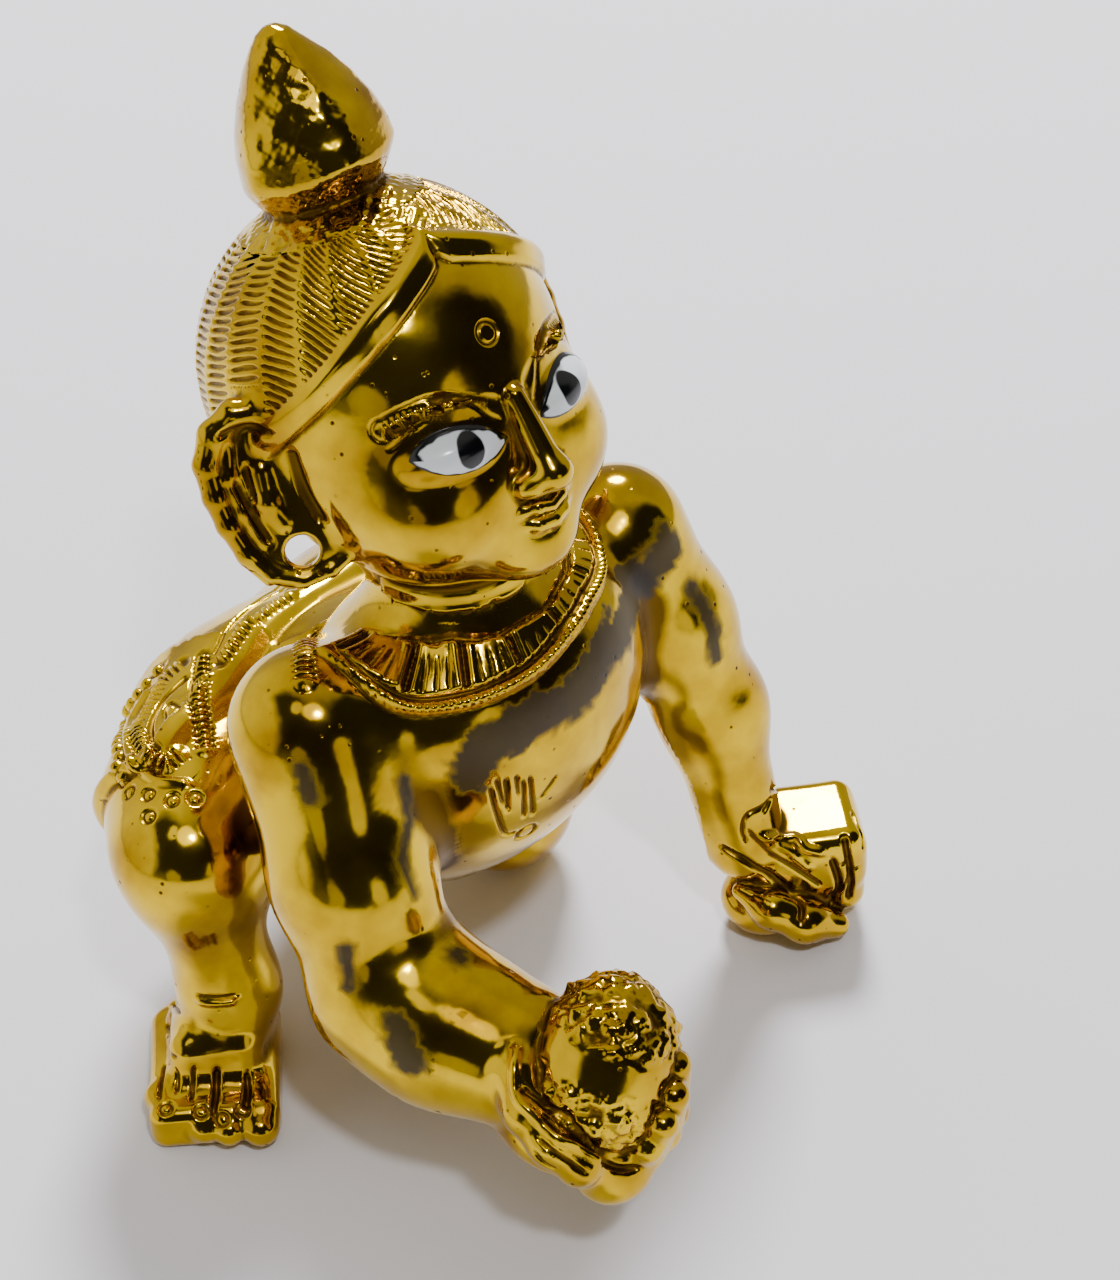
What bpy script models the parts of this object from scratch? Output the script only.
"""A crawling child figure, cast in one piece in polished brass.

The child kneels on its left knee, stands its right foot flat, leans on its left fist
and holds up a round sweet in its right hand. Hair, topknot, large pierced ears, a flat
collar and short trousers are cast with it, so the whole object is one solid.

Metres, +Z up. The figure faces -Y and its right hand is at -X. The origin is on the
floor, under the middle of the figure's box.

The pose and the carving are free form. They are given in shares of the figure: the tip
of the topknot is just over 99 shares above the floor.
"""
import math

import bmesh
import bpy
import numpy as np
from mathutils import Matrix, Vector

# Driving dimensions, in metres
HEIGHT = 0.090            # floor to the tip of the topknot
SWEET_DIAMETER = 0.0118   # the round sweet in the right hand
EAR_HOLE = 0.0026         # bore through each ear lobe, for an earring wire
COLLAR_RAISE = 0.0006     # how far the flat collar stands off the chest
COLLAR_GROOVE = 0.0005    # depth of the grooves between the collar's panels
DRESS_RAISE = 0.0005      # thickness of the trousers' cloth
HAIR_RAISE = 0.0005       # thickness of the hair over the scalp
HAIR_ROLL = 0.0006        # the rolled front edge of the hair, over the hair itself
BAND_RAISE = 0.0005       # the roped bands at the waist and the hems, over the cloth

# The figure's own measure
TIP = 99.26
SHARE = HEIGHT / TIP
MIDDLE = (0.5, -7.24)     # middle of the figure's box from its own midline, in shares

# Fineness of the modelling
BLOCK_GRID = 0.9          # first remesh of the joined lumps, in shares
FINE_GRID = 0.5           # second remesh, in shares
TRIANGLES = 9400
LUMP_SIDES = 20

BRASS = (0.62, 0.44, 0.12, 1.0)


# Small mathematics

def turned(x=0, y=0, z=0):
    """Turn about x, then y, then z, in degrees."""
    a, b, c = (math.radians(v) for v in (x, y, z))
    about_x = np.array([[1, 0, 0], [0, math.cos(a), -math.sin(a)], [0, math.sin(a), math.cos(a)]])
    about_y = np.array([[math.cos(b), 0, math.sin(b)], [0, 1, 0], [-math.sin(b), 0, math.cos(b)]])
    about_z = np.array([[math.cos(c), -math.sin(c), 0], [math.sin(c), math.cos(c), 0], [0, 0, 1]])
    return about_z @ about_y @ about_x


def facing(out, up):
    """Axes of a flat part: its width along out, its height near up."""
    out = np.array(out) / np.linalg.norm(out)
    up = np.array(up) - out * (out @ np.array(up))
    up = up / np.linalg.norm(up)
    return np.stack([out, up, np.cross(out, up)], 1)


def press(a, b, soft):
    """Join two distances, with a fillet where soft is over 0."""
    if soft <= 0:
        return np.minimum(a, b)
    near = np.maximum(soft - np.abs(a - b), 0) / soft
    return np.minimum(a, b) - near * near * soft / 4


def ramp(x, width):
    """0 below 0 and 1 above the width, smooth between."""
    t = np.clip(x / width, 0, 1)
    return t * t * (3 - 2 * t)


def ridge(x, half):
    """1 at 0, falling to 0 at half on each side."""
    return ramp(half - np.abs(x), half)


def side(points, plane):
    """Distance in front of a plane that is given by a point and a normal."""
    at, normal = plane
    return (points - np.array(at)) @ (np.array(normal) / np.linalg.norm(normal))


def placed(at, turn):
    """The matrix that puts a shape at a place with a turn."""
    matrix = Matrix(turn.tolist()).to_4x4()
    matrix.translation = Vector(at)
    return matrix


# Lumps: each gives its distance at points, and its rough block as a mesh

class Ball:
    """An egg-shaped lump."""

    def __init__(self, at, radii, turn=None):
        self.middle = np.array(at, float)
        self.radii = np.array(radii, float) * np.ones(3)
        self.turn = np.eye(3) if turn is None else turn
        self.reach = self.radii.max()

    def distance(self, points):
        q = (points - self.middle) @ self.turn
        near = np.linalg.norm(q / self.radii, axis=1)
        slope = np.linalg.norm(q / self.radii ** 2, axis=1)
        return near * (near - 1) / np.maximum(slope, 1e-9)

    def block(self, mesh, matrix):
        own = matrix @ placed(self.middle, self.turn) @ Matrix.Diagonal((*self.radii, 1))
        bmesh.ops.create_icosphere(mesh, subdivisions=3, radius=1, matrix=own)


class Block:
    """A box with rounded edges, from its half sizes."""

    def __init__(self, at, half, rounding, turn=None):
        self.middle = np.array(at, float)
        self.half = np.array(half, float)
        self.rounding = rounding
        self.turn = np.eye(3) if turn is None else turn
        self.reach = np.linalg.norm(half)

    def distance(self, points):
        q = np.abs((points - self.middle) @ self.turn) - self.half + self.rounding
        outside = np.linalg.norm(np.maximum(q, 0), axis=1)
        return outside + np.minimum(q.max(1), 0) - self.rounding

    def block(self, mesh, matrix):
        own = matrix @ placed(self.middle, self.turn) @ Matrix.Diagonal((*self.half, 1))
        bmesh.ops.create_cube(mesh, size=2, matrix=own)


class Limb:
    """A chain of round stations (x, y, z, radius) with straight runs between them."""

    def __init__(self, *stations, soft=0):
        self.points = np.array([s[:3] for s in stations], float)
        self.radii = np.array([s[3] for s in stations], float)
        self.soft = soft
        self.middle = self.points.mean(0)
        self.reach = (np.linalg.norm(self.points - self.middle, axis=1) + self.radii).max()

    def runs(self):
        return zip(self.points[:-1], self.points[1:], self.radii[:-1], self.radii[1:])

    def distance(self, points):
        found = np.full(len(points), 1e3)
        for start, end, wide, narrow in self.runs():
            found = press(found, run_distance(points, start, end, wide, narrow), self.soft)
        return found

    def block(self, mesh, matrix):
        for at, radius in zip(self.points, self.radii):
            own = matrix @ Matrix.Translation(at) @ Matrix.Scale(radius, 4)
            bmesh.ops.create_icosphere(mesh, subdivisions=2, radius=1, matrix=own)
        for start, end, wide, narrow in self.runs():
            along = Vector(end - start)
            own = matrix @ Matrix.Translation((start + end) / 2)
            own = own @ Vector((0, 0, 1)).rotation_difference(along).to_matrix().to_4x4()
            bmesh.ops.create_cone(mesh, cap_ends=True, segments=LUMP_SIDES, radius1=wide,
                                  radius2=narrow, depth=along.length, matrix=own)


def run_distance(points, start, end, wide, narrow):
    """Distance to two balls of unlike size and the cone that touches both."""
    along = end - start
    length2 = along @ along
    step = wide - narrow
    slant2 = length2 - step * step
    off = points - start
    y = off @ along
    z = y - length2
    x = off * length2 - y[:, None] * along
    x2 = (x * x).sum(1)
    y2 = y * y * length2
    z2 = z * z * length2
    key = np.sign(step) * step * step * x2
    found = (np.sqrt(x2 * slant2 / length2) + y * step) / length2 - wide
    found = np.where(np.sign(y) * slant2 * y2 < key, np.sqrt(x2 + y2) / length2 - wide, found)
    return np.where(np.sign(z) * slant2 * z2 > key, np.sqrt(x2 + z2) / length2 - narrow, found)


class Lathe:
    """A form turned about its own z axis, from pairs of height and radius."""

    def __init__(self, *profile):
        self.z = np.array([s[0] for s in profile], float)
        self.r = np.array([s[1] for s in profile], float)
        self.middle = np.array([0, 0, (self.z[0] + self.z[-1]) / 2])
        self.reach = np.hypot((self.z[-1] - self.z[0]) / 2, self.r.max())

    def distance(self, points):
        r = np.hypot(points[:, 0], points[:, 1])
        found = np.full(len(points), 1e3)
        z_line = np.r_[self.z[0], self.z, self.z[-1]]
        r_line = np.r_[0, self.r, 0]
        for z0, r0, z1, r1 in zip(z_line[:-1], r_line[:-1], z_line[1:], r_line[1:]):
            along = ((points[:, 2] - z0) * (z1 - z0) + (r - r0) * (r1 - r0))
            t = np.clip(along / ((z1 - z0) ** 2 + (r1 - r0) ** 2), 0, 1)
            away = np.hypot(points[:, 2] - z0 - t * (z1 - z0), r - r0 - t * (r1 - r0))
            found = np.minimum(found, away)
        rim = np.interp(points[:, 2], self.z, self.r, left=-1, right=-1)
        return np.where(r < rim, -found, found)

    def block(self, mesh, matrix):
        for z0, r0, z1, r1 in zip(self.z[:-1], self.r[:-1], self.z[1:], self.r[1:]):
            own = matrix @ Matrix.Translation((0, 0, (z0 + z1) / 2))
            bmesh.ops.create_cone(mesh, cap_ends=True, segments=2 * LUMP_SIDES, radius1=r0,
                                  radius2=r1, depth=z1 - z0, matrix=own)


class Clay:
    """Lumps pressed together, with a fillet of the given softness between them."""

    def __init__(self, soft, *lumps):
        self.soft = soft
        self.lumps = lumps
        self.middle = np.mean([lump.middle for lump in lumps], axis=0)
        self.reach = max(np.linalg.norm(lump.middle - self.middle) + lump.reach for lump in lumps)

    def distance(self, points):
        found = np.full(len(points), 1e3)
        for lump in self.lumps:
            rough = np.linalg.norm(points - lump.middle, axis=1) - lump.reach
            near = rough < self.soft + 3
            if near.any():
                rough[near] = lump.distance(points[near])
            found = press(found, rough, self.soft)
        return found

    def block(self, mesh, matrix):
        for lump in self.lumps:
            lump.block(mesh, matrix)


class Placed:
    """A part in axes of its own."""

    def __init__(self, at, turn, part):
        self.at = np.array(at, float)
        self.turn = turn
        self.part = part
        self.middle = self.at + turn @ part.middle
        self.reach = part.reach

    def distance(self, points):
        return self.part.distance((points - self.at) @ self.turn)

    def block(self, mesh, matrix):
        self.part.block(mesh, matrix @ placed(self.at, self.turn))


class Pair:
    """A part on the figure's right, and its mirror image on the left."""

    def __init__(self, part):
        self.part = part
        self.middle = part.middle * np.array([0, 1, 1])
        self.reach = part.reach + abs(part.middle[0])

    def distance(self, points):
        mirrored = points.copy()
        mirrored[:, 0] = -np.abs(points[:, 0])
        return self.part.distance(mirrored)

    def block(self, mesh, matrix):
        self.part.block(mesh, matrix)
        self.part.block(mesh, matrix @ Matrix.Scale(-1, 4, (1, 0, 0)))


class Worked:
    """A part whose distance is changed by a function of the distance and the points."""

    def __init__(self, part, work):
        self.part = part
        self.work = work
        self.middle = part.middle
        self.reach = part.reach + 2

    def distance(self, points):
        return self.work(self.part.distance(points), points)

    def block(self, mesh, matrix):
        self.part.block(mesh, matrix)


# Head, in its own axes: leaning back, x to the figure's left, y back, z up

HEAD_AT = np.array([-0.2, -4.3, 67.4])
HEAD_LEAN = turned(x=-17)
HAIR_CENTRE = np.array([0, 1.0, 3.0])
HAIR_REACH = 15.0
HAIR_AZIMUTH = (0, 4, 18, 34, 48, 60, 78, 95, 112, 140, 180)
HAIR_LEVEL = (47, 43, 37, 29, 21, 13, 2, -9, -30, -44, -48)
EAR_AT = np.array([-13.0, -2.3, -0.2])
EAR_AXES = facing((-0.80, 0.60, 0.0), (0.05, 0.16, 1.0))
LOBE_HOLE_AT = np.array([2.1, -5.2, 0])
TOPKNOT_AT = np.array([0.2, 1.8, 18.3])
TOPKNOT_TURN = turned(x=-4)
RIM_LEAN = 0.16           # rise of the topknot's rim to the front, for each share across


def round_the_head(points):
    """Degrees round from the brow, degrees over the horizon, and shares over the hairline."""
    off = points - HAIR_CENTRE
    azimuth = np.degrees(np.arctan2(np.abs(off[:, 0]), -off[:, 1]))
    level = np.degrees(np.arctan2(off[:, 2], np.hypot(off[:, 0], off[:, 1])))
    above = np.radians(level - np.interp(azimuth, HAIR_AZIMUTH, HAIR_LEVEL)) * HAIR_REACH
    return azimuth, level, above


def hair(distance, points):
    azimuth, _, above = round_the_head(points)
    roll = ridge(above - 2.0, 1.9) * ramp(100 - azimuth, 20)
    return distance - (HAIR_RAISE * ramp(above, 0.5) + HAIR_ROLL * roll) / SHARE


def ear():
    plate = Clay(1, Ball((3.2, 0.6, 0.1), (5.0, 7.2, 0.75)), Ball((2.0, -4.9, 0.1), (4.6, 3.2, 0.7)))
    rim = Limb((-0.8, 5.6, -0.2, 1.0), (1.6, 7.2, -0.4, 1.15), (4.2, 7.5, -0.4, 1.2),
               (6.3, 6.3, -0.4, 1.2), (7.5, 4.0, -0.4, 1.15), (7.6, 1.2, -0.4, 1.05),
               (7.3, -1.4, -0.4, 0.95), (6.5, -4.2, -0.3, 0.85), (5.1, -6.5, -0.3, 0.75),
               (2.7, -7.7, -0.2, 0.7), (0.4, -7.5, -0.2, 0.6), (-1.8, -6.6, -0.1, 0.45), soft=0.4)
    fold = Limb((5.4, 5.3, -0.3, 0.55), (6.1, 2.6, -0.4, 0.7), (5.7, -0.6, -0.4, 0.65),
                (4.9, -3.4, -0.3, 0.5), soft=0.4)
    shell = Limb((3.4, 2.2, -0.1, 0.9), (3.6, -0.4, -0.2, 1.0), (2.9, -2.4, -0.1, 0.8), soft=0.5)
    root = Limb((-1.6, 4.5, 0.2, 1.6), (-1.2, -1.0, 0.2, 1.3), (-1.4, -4.5, 0.2, 1.0), soft=1)
    whole = Clay(0.5, Clay(0.7, plate, root), rim, fold, shell)
    return Placed(EAR_AT, EAR_AXES, whole)


def topknot():
    """A bud with a sharp rim that rises to the front, over a short cone."""
    bud = Lathe((-2.0, 4.6), (0, 4.75), (0.8, 4.7), (3.4, 6.4), (3.9, 6.55), (4.3, 6.6), (6.2, 6.4),
                (8.2, 5.85), (10.4, 4.9), (12.6, 3.6), (14.3, 2.35), (15.4, 1.4), (15.9, 0.5))

    def lean(distance, points):
        """The rim is not level: it dips at the back and the sides."""
        drop = RIM_LEAN * points[:, 1] * ramp(6 - points[:, 2], 6)
        return bud.distance(points + np.outer(drop, (0, 0, 1)))

    turns = [math.tau * k / 24 for k in range(25)]
    band = Limb(*[(4.9 * math.cos(a), 4.9 * math.sin(a), 0.3, 0.55) for a in turns])
    return Placed(TOPKNOT_AT, TOPKNOT_TURN, Clay(0.4, Worked(bud, lean), band))


def head():
    skull = Ball((0.1, 1.1, 4.4), (14.6, 16.0, 15.2))
    jaw = Ball((0, -4.2, -3.8), (12.2, 11.0, 10.6))
    cheeks = Pair(Ball((-6.2, -8.6, -4.6), (5.6, 5.6, 5.2)))
    chin = Ball((0, -12.4, -10.6), (3.4, 2.9, 2.6))
    nape = Ball((0, 5.6, -6), (9.0, 7.6, 8.4))
    scalp = Worked(Clay(4.2, skull, jaw, nape, cheeks, chin), hair)
    eyes = Pair(Ball((-6.0, -12.6, 0.9), (4.3, 2.7, 2.1), turned(z=-22)))
    brows = Pair(Limb((-2.0, -16.0, 3.6, 0.3), (-4.2, -15.6, 5.0, 0.5), (-7.2, -14.0, 5.4, 0.5),
                      (-10.2, -11.2, 4.2, 0.3), soft=0.3))
    bridge = Limb((0, -15.3, 3.4, 0.9), (0, -17.3, -3.0, 1.35))
    nose_tip = Ball((0, -17.5, -3.4), (1.6, 1.5, 1.3))
    nostrils = Pair(Ball((-1.8, -16.0, -3.9), (1.2, 1.4, 1.05)))
    upper_lip = Limb((0, -16.1, -6.5, 0.55), (-1.3, -15.9, -6.1, 0.6), (-3.4, -14.3, -6.3, 0.3),
                     soft=0.2)
    lower_lip = Limb((0, -15.9, -7.8, 0.75), (-1.4, -15.5, -7.7, 0.65), (-3.1, -14.3, -6.9, 0.3),
                     soft=0.2)
    face = Clay(0.6, Clay(0.9, scalp, eyes, brows), Clay(1.3, bridge, nose_tip, nostrils),
                Pair(Clay(0.25, upper_lip, lower_lip)))
    return Placed(HEAD_AT, HEAD_LEAN, Clay(0.8, face, topknot(), Pair(ear())))


# Body

SWEET_AT = np.array([-15.0, -38.9, 20.8])
SWEET_RADIUS = SWEET_DIAMETER / 2 / SHARE
SWEET_TOP_AT = SWEET_AT + np.array([2.1, 0, 3.6])
SWEET_TOP_RADIUS = 0.877 * SWEET_RADIUS


def trunk():
    chest = Ball((0.8, -9.8, 37.4), (17.2, 12.5, 13.0), turned(x=-35))
    belly = Ball((0, -2.0, 27.4), (15.0, 14.0, 11.8), turned(x=-20))
    hips = Ball((0, 10.2, 26.4), (14.6, 11.2, 10.5))
    seat = Pair(Ball((-8.0, 15.0, 23.4), (8.6, 9.0, 9.2)))
    yoke = Ball((0, -10.0, 43.0), (16.5, 11.5, 9.0), turned(x=-12))
    neck = Limb((0, -9.5, 46, 7.8), (0, -8.0, 57, 6.9))
    return Clay(3.0, Clay(5, Clay(8, chest, belly, hips, seat), yoke), neck)


def right_arm():
    return Limb((-17.2, -8.5, 45.0, 7.4), (-19.6, -14.5, 33, 6.7), (-20.3, -19.4, 23.0, 6.8),
                (-19.5, -24.9, 21.6, 6.9), (-17.5, -31.1, 20.8, 6.6), soft=3)


def left_arm():
    return Limb((19.6, -9.8, 45.2, 6.5), (22.2, -13.7, 35.1, 5.5), (24.1, -17.2, 25.3, 4.6),
                (24.1, -21.6, 10.5, 3.9), soft=4)


FINGERTIPS = ((-49, 18), (-68, 8), (-85, -4), (-96, -24))


def round_the_sweet(azimuth, level, gap):
    """A place near the sweet, from degrees round and over its middle and a gap to its skin."""
    azimuth, level = math.radians(azimuth), math.radians(level)
    out = np.array([math.cos(level) * math.cos(azimuth), math.cos(level) * math.sin(azimuth),
                    math.sin(level)])
    return SWEET_AT + (SWEET_RADIUS + gap) * out


def right_hand():
    """A cupped palm under the sweet, the thumb along one side and four fingertips on the other."""
    palm = Ball((-16.2, -37.8, 16.2), (6.0, 7.6, 3.8), turned(z=18, x=-6))
    tip = Ball((-16.6, -42.4, 14.2), (4.0, 3.4, 2.9), turned(z=18, x=-6))
    thumb = Limb(*[(*(SWEET_AT + np.array(at)), radius) for at, radius in (
        ((-5.8, 3.6, 3.2), 1.7), ((-7.0, 1.4, 1.0), 2.0), ((-7.0, -1.4, -0.8), 2.0),
        ((-5.9, -3.4, -2.9), 1.8), ((-3.8, -3.8, -5.4), 1.3))], soft=1)
    fingers = []
    for azimuth, level in FINGERTIPS:
        ways = ((-78, 0.3, 1.9), ((level - 78) / 2, 0.6, 1.7), (level, 0.6, 1.45))
        fingers.append(Limb(*[(*round_the_sweet(azimuth, lv, gap), radius) for lv, gap, radius in ways],
                            soft=0.6))
    return Clay(0.9, Clay(1.6, palm, thumb, tip), Clay(0.5, *fingers))


FIST_AT = np.array([25.9, -21.5, 0])
FIST_TURN = turned(z=50)


def left_fist():
    """A closed fist that leans on the floor: a square block with the thumb laid along it."""
    back = Block((0.1, -4.3, 8.6), (4.7, 5.8, 3.9), 1.3, turned(x=-3))
    knuckles = Block((0.1, -6.6, 6.5), (4.4, 3.8, 5.0), 2.1)
    palm = Ball((0.0, -3.4, 4.6), (4.8, 5.4, 4.2))
    heel = Ball((-1.7, -0.8, 3.1), (4.5, 4.6, 3.4))
    thumb = Limb((-4.2, 2.2, 6.6, 0.9), (-5.6, -0.6, 5.2, 1.9), (-6.2, -3.8, 3.6, 2.1),
                 (-5.8, -7.0, 2.2, 1.3), soft=1)
    return Placed(FIST_AT, FIST_TURN, Clay(0.6, Clay(0.8, back, knuckles, palm, heel), thumb))


def right_leg():
    thigh = Limb((-10.5, 11.6, 25.2, 9.8), (-17.6, 7.6, 26.0, 8.4), (-23.4, 3.8, 26.8, 7.0), soft=5)
    shin = Limb((-23.2, 2.9, 22.5, 5.4), (-22.9, 1.2, 10.8, 4.0), (-23.2, 2.0, 5.5, 4.2), soft=4)
    return Clay(3, thigh, shin)


FOOT_AT = np.array([-25.4, 2.2, 0])
FOOT_TURN = turned(z=-42)
TOES = (-5.0, -2.8, -0.6, 1.7, 4.6)


def right_foot():
    """A square-cut foot: a block for the sole, one for the instep, and five short toes."""
    sole = Block((0.4, -2.2, 2.3), (6.1, 7.2, 2.5), 1.5)
    heel = Ball((0, 4.4, 2.8), (4.4, 4.0, 3.3))
    instep = Block((0.8, -1.2, 4.9), (4.3, 4.6, 3.6), 2.0, turned(x=-16))
    toes = []
    for across, radius in zip(TOES, (1.3, 1.35, 1.4, 1.5, 1.8)):
        tip = -9.3 + 0.11 * min(across - 1.5, 0) ** 2
        toes.append(Limb((across * 0.95, -5.6, 3.5, 1.4), (across, tip, 2.3, radius), soft=0.6))
    return Placed(FOOT_AT, FOOT_TURN, Clay(0.7, Clay(1.8, sole, heel, instep), *toes))


def left_leg():
    """Kneeling: the knee is on the floor and the shin trails behind it."""
    thigh = Limb((10.5, 12, 26, 10.8), (14, 5, 16, 8.6), (14.6, 2.5, 8.2, 6.8), soft=5)
    shin = Limb((14.6, 3, 7.0, 6.4), (15, 13, 6.0, 5.2), (15, 21, 5.0, 3.8), soft=3)
    foot = Ball((15, 26.0, 4.6), (4.3, 5.2, 3.0), turned(x=14))
    toes = []
    for across, radius in ((-3.4, 1.5), (-1.5, 1.2), (0.2, 1.15), (1.8, 1.1), (3.3, 1.05)):
        toes.append(Limb((15 + across * 0.8, 28.5, 3.6, radius),
                         (15 + across, 31.6 - 0.08 * (across + 1) ** 2, 2.2, radius), soft=0.6))
    return Clay(0.5, Clay(3, thigh, shin, foot), *toes)


# Dress

COLLAR_AT = np.array([0, -8.0, 50.0])
COLLAR_SPREAD = np.array([17.0, 14.5, 9.0])
COLLAR_INNER = 0.66
COLLAR_OUTER = 0.95
COLLAR_END = 91           # degrees from the front, to each side
PANELS = 7
BACK_WAIST = ((0, 3.4, 33.9), (0, 0.48, -0.87))
FRONT_WAIST = ((0, 3.4, 33.9), (0, 0.89, -0.45))
BAND_WIDTH = 2.0
BETWEEN_THIGHS = 9.0
RIGHT_HEM = ((-22.8, 8.5, 31.5), (0.7, 0.65, 0.29))
LEFT_HEM = ((13, 6, 17), (0, 0.30, 0.95))


def collar(points):
    """A flat collar of panels with grooves between them."""
    off = points - COLLAR_AT
    across = np.linalg.norm(off / COLLAR_SPREAD, axis=1)
    azimuth = np.degrees(np.arctan2(off[:, 0], -off[:, 1]))
    band = ramp((across - COLLAR_INNER) * 14, 0.5) * ramp((COLLAR_OUTER - across) * 14, 0.4)
    band = band * ramp(COLLAR_END - np.abs(azimuth), 3) * ramp(6 - off[:, 2], 1)
    pitch = 2 * COLLAR_END / PANELS
    from_joint = (np.mod(azimuth + COLLAR_END + pitch / 2, pitch) - pitch / 2) * 0.22
    inside = ramp((COLLAR_OUTER - 0.05 - across) * 14, 0.4)
    return (COLLAR_RAISE - COLLAR_GROOVE * ridge(from_joint, 0.5) * inside) * band / SHARE


def dress(points):
    """Short trousers, from the waist to a hem round each thigh."""
    waist = press(side(points, BACK_WAIST), side(points, FRONT_WAIST), 4)
    hem = np.where(points[:, 0] < 0, side(points, RIGHT_HEM), side(points, LEFT_HEM))
    hem = hem + 10 * ramp(BETWEEN_THIGHS - np.abs(points[:, 0]), 6)
    edge = np.minimum(waist, hem)
    band = ridge(edge - BAND_WIDTH / 2, BAND_WIDTH / 2)
    return (DRESS_RAISE + BAND_RAISE * band) * ramp(edge, 0.5) / SHARE


def figure():
    limbs = Clay(3.5, trunk(), right_arm(), left_arm(), right_leg(), left_leg())
    body = Worked(limbs, lambda distance, points: distance - collar(points) - dress(points))
    body = Clay(2.0, body, right_foot())
    body = Clay(0.5, body, left_fist())
    body = Clay(1.5, body, right_hand())
    sweet = Clay(2, Ball(SWEET_AT, SWEET_RADIUS), Ball(SWEET_TOP_AT, SWEET_TOP_RADIUS))
    return Clay(2.0, Clay(0.3, body, sweet), head())


# From lumps to one cast mesh

def remeshed(mesh, grid):
    """The skin of overlapping closed shapes, as one mesh on an even grid."""
    block = bpy.data.objects.new("block", mesh)
    bpy.context.scene.collection.objects.link(block)
    remesh = block.modifiers.new("skin", "REMESH")
    remesh.mode = "VOXEL"
    remesh.voxel_size = grid
    view = bpy.context.evaluated_depsgraph_get()
    skin = bpy.data.meshes.new_from_object(block.evaluated_get(view))
    bpy.data.objects.remove(block)
    return skin


def vertices(mesh):
    points = np.empty(len(mesh.vertices) * 3)
    mesh.vertices.foreach_get("co", points)
    return points.reshape(-1, 3)


def gradient(form, points, step=0.02):
    found = np.zeros((len(points), 3))
    for corner in ((1, -1, -1), (-1, -1, 1), (-1, 1, -1), (1, 1, 1)):
        found += form.distance(points + step * np.array(corner))[:, None] * np.array(corner)
    return found / (4 * step)


def settle(mesh, form, rounds, relax):
    """Move the vertices onto the form, evening them out along the surface on the way."""
    points = vertices(mesh)
    ends = np.empty(len(mesh.edges) * 2, int)
    mesh.edges.foreach_get("vertices", ends)
    ends = ends.reshape(-1, 2)
    count = np.bincount(ends.ravel(), minlength=len(points))
    for _ in range(rounds):
        slope = gradient(form, points)
        size = np.maximum(np.linalg.norm(slope, axis=1), 0.3)
        away = np.clip(form.distance(points) / size, -0.8, 0.8)
        normal = slope / np.maximum(np.linalg.norm(slope, axis=1), 1e-6)[:, None]
        points = points - away[:, None] * normal
        if relax:
            total = np.zeros_like(points)
            np.add.at(total, ends[:, 0], points[ends[:, 1]])
            np.add.at(total, ends[:, 1], points[ends[:, 0]])
            pull = total / count[:, None] - points
            pull = pull - (pull * normal).sum(1)[:, None] * normal
            points = points + relax * pull
    mesh.vertices.foreach_set("co", points.ravel())
    mesh.update()


def cast(form):
    """One closed mesh of the form, in shares of the figure."""
    lumps = bmesh.new()
    form.block(lumps, Matrix.Identity(4))
    block = bpy.data.meshes.new("block")
    lumps.to_mesh(block)
    lumps.free()
    rough = remeshed(block, BLOCK_GRID)
    settle(rough, form, rounds=4, relax=0.4)
    fine = remeshed(rough, FINE_GRID)
    settle(fine, form, rounds=3, relax=0.3)
    settle(fine, form, rounds=2, relax=0)
    return fine


def brass():
    material = bpy.data.materials.new("polished cast brass")
    material.use_nodes = True
    shader = material.node_tree.nodes["Principled BSDF"]
    shader.inputs["Base Color"].default_value = BRASS
    shader.inputs["Metallic"].default_value = 1.0
    shader.inputs["Roughness"].default_value = 0.15
    material.diffuse_color = BRASS
    return material


def cutter(name, mesh):
    tool = bpy.data.objects.new(name, mesh)
    bpy.context.scene.collection.objects.link(tool)
    tool.hide_render = True
    tool.display_type = "WIRE"
    return tool


def cut(target, tool, operation):
    step = target.modifiers.new(tool.name, "BOOLEAN")
    step.operation = operation
    step.object = tool


def to_metres():
    """From the figure's shares to metres, with the origin under the middle of its box."""
    return Matrix.Scale(SHARE, 4) @ Matrix.Translation((-MIDDLE[0], -MIDDLE[1], 0))


def ear_wires():
    """One rod through each lobe, square to the ear."""
    rods = bmesh.new()
    for mirror in (Matrix.Identity(4), Matrix.Scale(-1, 4, (1, 0, 0))):
        own = placed(HEAD_AT, HEAD_LEAN) @ mirror @ placed(EAR_AT, EAR_AXES)
        own = own @ Matrix.Translation(LOBE_HOLE_AT)
        bmesh.ops.create_cone(rods, cap_ends=True, segments=16, radius1=EAR_HOLE / 2 / SHARE,
                              radius2=EAR_HOLE / 2 / SHARE, depth=6, matrix=to_metres() @ own)
    bmesh.ops.recalc_face_normals(rods, faces=rods.faces)
    mesh = bpy.data.meshes.new("ear wires")
    rods.to_mesh(mesh)
    rods.free()
    return mesh


def floor_block():
    """Everything over the floor: what is left of the figure has flat feet."""
    block = bmesh.new()
    size = Matrix.Diagonal((2 * HEIGHT, 2 * HEIGHT, 2 * HEIGHT, 1))
    bmesh.ops.create_cube(block, size=1, matrix=Matrix.Translation((0, 0, HEIGHT)) @ size)
    mesh = bpy.data.meshes.new("over the floor")
    block.to_mesh(mesh)
    block.free()
    return mesh


def main():
    for thing in list(bpy.data.objects):
        bpy.data.objects.remove(thing)
    skin = cast(figure())
    skin.transform(to_metres())
    idol = bpy.data.objects.new("brass_idol", skin)
    bpy.context.scene.collection.objects.link(idol)
    skin.materials.append(brass())
    thin = idol.modifiers.new("fewer facets", "DECIMATE")
    thin.use_collapse_triangulate = True
    thin.ratio = TRIANGLES / (2 * len(skin.vertices))
    cut(idol, cutter("over_the_floor", floor_block()), "INTERSECT")
    cut(idol, cutter("ear_wires", ear_wires()), "DIFFERENCE")


main()
